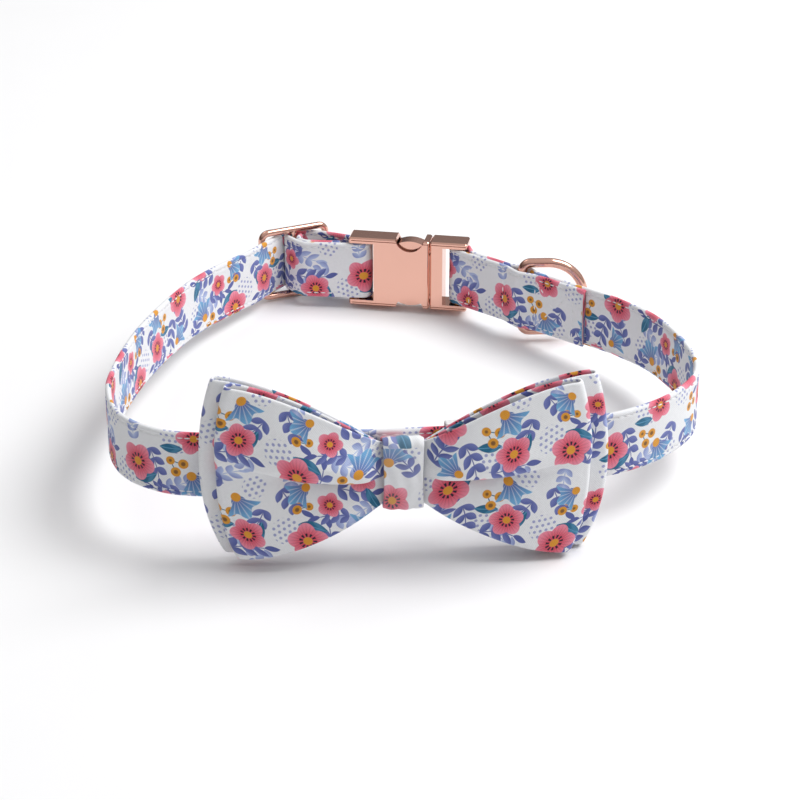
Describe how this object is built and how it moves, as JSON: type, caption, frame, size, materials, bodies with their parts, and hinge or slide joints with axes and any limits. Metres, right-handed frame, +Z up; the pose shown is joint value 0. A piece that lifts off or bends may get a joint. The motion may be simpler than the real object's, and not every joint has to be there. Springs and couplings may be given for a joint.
{
  "type": "pet bow tie collar",
  "caption": "Small pet collar of printed cloth strap with a side-release metal buckle, slider and D-ring, and a two-layer bow tie carried on elastic loops.",
  "frame": {"origin": "on the ground under the middle of the box, the collar standing on its edge", "axes": "+Z up out of the loop, +Y away from the bow towards the buckle, +X to the right seen from the bow's side"},
  "size_m": [0.1758, 0.1778, 0.055],
  "materials": {
    "rose_gold": "polished rose-gold plating on die-cast metal and wire",
    "print_cloth": "white cotton with a small floral print, edge-stitched",
    "knot_cloth": "the same printed cotton, folded to a band",
    "elastic": "flat white knitted elastic"
  },
  "bodies": {
    "collar": {"collar_strap": "print_cloth", "buckle_socket": "rose_gold", "buckle_plug": "rose_gold", "slider": "rose_gold", "bow_back": "print_cloth", "bow_front": "print_cloth", "knot_band": "knot_cloth", "elastic_loop_left": "elastic", "elastic_loop_right": "elastic"},
    "d_ring": {"d_ring": "rose_gold"},
    "release_lever_upper": {"release_lever_upper": "rose_gold"},
    "release_lever_lower": {"release_lever_lower": "rose_gold"}
  },
  "joints": [
    {"name": "d_ring_swing", "type": "hinge", "parent": "collar", "child": "d_ring", "pos_m": [0.03884, 0.04931, 0.01592], "axis": [0, 0.0878, 0.9961], "range_deg": [-20, 100]},
    {"name": "upper_lever_press", "type": "hinge", "parent": "collar", "child": "release_lever_upper", "pos_m": [0.00744, 0.07237, 0.02222], "axis": [0.1736, 0.981, -0.0865], "range_deg": [-12, 0], "stiffness_Nm_per_rad": 0.02},
    {"name": "lower_lever_press", "type": "hinge", "parent": "collar", "child": "release_lever_lower", "pos_m": [0.00744, 0.07092, 0.00568], "axis": [0.1736, 0.981, -0.0865], "range_deg": [0, 12], "stiffness_Nm_per_rad": 0.02}
  ]
}
